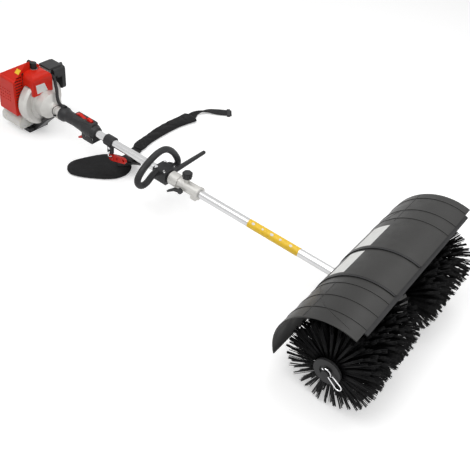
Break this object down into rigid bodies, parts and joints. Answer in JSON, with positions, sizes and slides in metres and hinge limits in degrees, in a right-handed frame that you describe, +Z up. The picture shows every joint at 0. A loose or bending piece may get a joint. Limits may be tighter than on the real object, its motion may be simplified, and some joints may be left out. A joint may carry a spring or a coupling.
{
  "type": "power brush sweeper",
  "caption": "Walk-behind power brush sweeper: two-stroke engine, split shaft tube with loop handle and harness, and a geared bristle drum under a curved guard.",
  "frame": {"origin": "centre of the stand's foot on the floor", "axes": "+X forward from the stand to the brush along the tube, +Y to the operator's left, +Z up"},
  "size_m": [1.6365, 0.9273, 0.2923],
  "materials": {
    "cast_alloy": "satin",
    "dark_steel": "machined",
    "plug_ceramic": "glossy",
    "boot_rubber": "matte",
    "muffler_steel": "heat dulled",
    "red_cover": "glossy",
    "tank_plastic": "translucent",
    "black_plastic": "fine grained",
    "stand_metal": "satin",
    "filter_foam": "open foam",
    "conduit_plastic": "ribbed",
    "bright_tube": "polished",
    "bush_nylon": "satin",
    "red_control": "satin",
    "bright_steel": "bright",
    "pad_fabric": "woven",
    "webbing_nylon": "woven",
    "handle_rubber": "matte",
    "gearbox_paint": "satin",
    "bristle_nylon": "strands",
    "disc_plastic": "satin",
    "guard_plastic": "satin",
    "frame_paint": "satin"
  },
  "bodies": {
    "machine": {"fan_housing": "cast_alloy", "clutch_housing": "cast_alloy", "coupler_body": "cast_alloy", "cylinder": "cast_alloy", "carburettor": "cast_alloy", "spark_plug": "plug_ceramic", "spark_plug_boot": "boot_rubber", "muffler": "muffler_steel", "engine_cover": "red_cover", "muffler_cover": "red_cover", "fuel_tank": "tank_plastic", "starter_cover": "black_plastic", "filter_base": "black_plastic", "filter_cover": "black_plastic", "grip_left": "black_plastic", "grip_right": "black_plastic", "hanger_clamp": "black_plastic", "handle_cap": "black_plastic", "strap_buckle": "black_plastic", "engine_stand": "stand_metal", "filter_element": "filter_foam", "throttle_conduit": "conduit_plastic", "upper_tube": "bright_tube", "tube_bushes": "bush_nylon", "harness_hook": "red_control", "fasteners": "bright_steel", "hanger_ring": "bright_steel", "hip_pad": "pad_fabric", "shoulder_pad": "pad_fabric", "webbing": "webbing_nylon", "loop_handle": "handle_rubber", "barrier_bar": "handle_rubber"},
    "attachment": {"lower_tube": "bright_tube", "lower_bushes": "bush_nylon", "gearbox_case": "gearbox_paint", "gearbox_cover": "gearbox_paint", "guard_left": "guard_plastic", "guard_centre": "guard_plastic", "guard_right": "guard_plastic", "guard_frame": "frame_paint", "guard_bolts": "bright_steel"},
    "brush": {"bevel_gear": "dark_steel", "brush_axle": "dark_steel", "brush_left": "bristle_nylon", "brush_right": "bristle_nylon", "end_discs": "disc_plastic", "hitch_pins": "bright_steel"},
    "upper_shaft": {"upper_drive_shaft": "dark_steel", "clutch_drum": "dark_steel"},
    "lower_shaft": {"lower_drive_shaft": "dark_steel"},
    "trigger": {"throttle_trigger": "red_control"},
    "lock": {"throttle_lock": "red_control"},
    "switch": {"stop_switch": "red_control"},
    "choke": {"choke_lever": "black_plastic"},
    "primer": {"primer_bulb": "tank_plastic"},
    "starter_grip": {"starter_handle": "black_plastic"},
    "tank_cap": {"fuel_cap": "black_plastic"},
    "cover_knob": {"filter_knob": "black_plastic"},
    "clamp_knob": {"coupler_knob": "black_plastic"},
    "latch": {"coupler_latch": "black_plastic"}
  },
  "joints": [
    {"name": "attachment_slide", "type": "slide", "parent": "machine", "child": "attachment", "axis": [1, 0, 0], "range_m": [0, 0.058]},
    {"name": "brush_spin", "type": "hinge", "parent": "attachment", "child": "brush", "pos_m": [1.408, 0, 0.128], "axis": [0, 1, 0], "continuous": true},
    {"name": "upper_shaft_spin", "type": "hinge", "parent": "machine", "child": "upper_shaft", "pos_m": [0.4, 0, 0.128], "axis": [1, 0, 0], "continuous": true},
    {"name": "lower_shaft_spin", "type": "hinge", "parent": "attachment", "child": "lower_shaft", "pos_m": [1, 0, 0.128], "axis": [1, 0, 0], "continuous": true},
    {"name": "trigger_pull", "type": "hinge", "parent": "machine", "child": "trigger", "pos_m": [0.294, 0, 0.098], "axis": [0, 1, 0], "range_deg": [0, 14], "stiffness_Nm_per_rad": 0.6, "springref_deg": -14.32},
    {"name": "lock_press", "type": "hinge", "parent": "machine", "child": "lock", "pos_m": [0.264, 0, 0.155], "axis": [0, -1, 0], "range_deg": [0, 5], "stiffness_Nm_per_rad": 0.6, "springref_deg": -8.59},
    {"name": "switch_slide", "type": "slide", "parent": "machine", "child": "switch", "axis": [1, 0, 0], "range_m": [0, 0.005]},
    {"name": "choke_turn", "type": "hinge", "parent": "machine", "child": "choke", "pos_m": [0.002, 0.066, 0.178], "axis": [0, -1, 0], "range_deg": [0, 60]},
    {"name": "primer_press", "type": "slide", "parent": "machine", "child": "primer", "axis": [1, 0, 0], "range_m": [0, 0.004], "stiffness_N_per_m": 600, "springref_m": -0.001},
    {"name": "starter_pull", "type": "slide", "parent": "machine", "child": "starter_grip", "axis": [0, 1, 0], "range_m": [0, 0.6], "stiffness_N_per_m": 20, "springref_m": -0.2},
    {"name": "cap_turn", "type": "hinge", "parent": "machine", "child": "tank_cap", "pos_m": [-0.034, 0.08, 0.04405], "axis": [0, 1, 0], "range_deg": [0, 360]},
    {"name": "cover_knob_turn", "type": "hinge", "parent": "machine", "child": "cover_knob", "pos_m": [0.026, 0.13, 0.21], "axis": [0, 1, 0], "range_deg": [0, 360]},
    {"name": "clamp_knob_turn", "type": "hinge", "parent": "machine", "child": "clamp_knob", "pos_m": [0.71, 0, 0.165], "axis": [0, 0, 1], "range_deg": [0, 360]},
    {"name": "latch_press", "type": "hinge", "parent": "machine", "child": "latch", "pos_m": [0.708, -0.028, 0.122], "axis": [0, 1, 0], "range_deg": [0, 14], "stiffness_Nm_per_rad": 0.6, "springref_deg": -11.46}
  ],
  "couplings": [
    {"joint": "upper_shaft_spin", "follows": "brush_spin", "ratio": 3},
    {"joint": "lower_shaft_spin", "follows": "brush_spin", "ratio": 3}
  ]
}
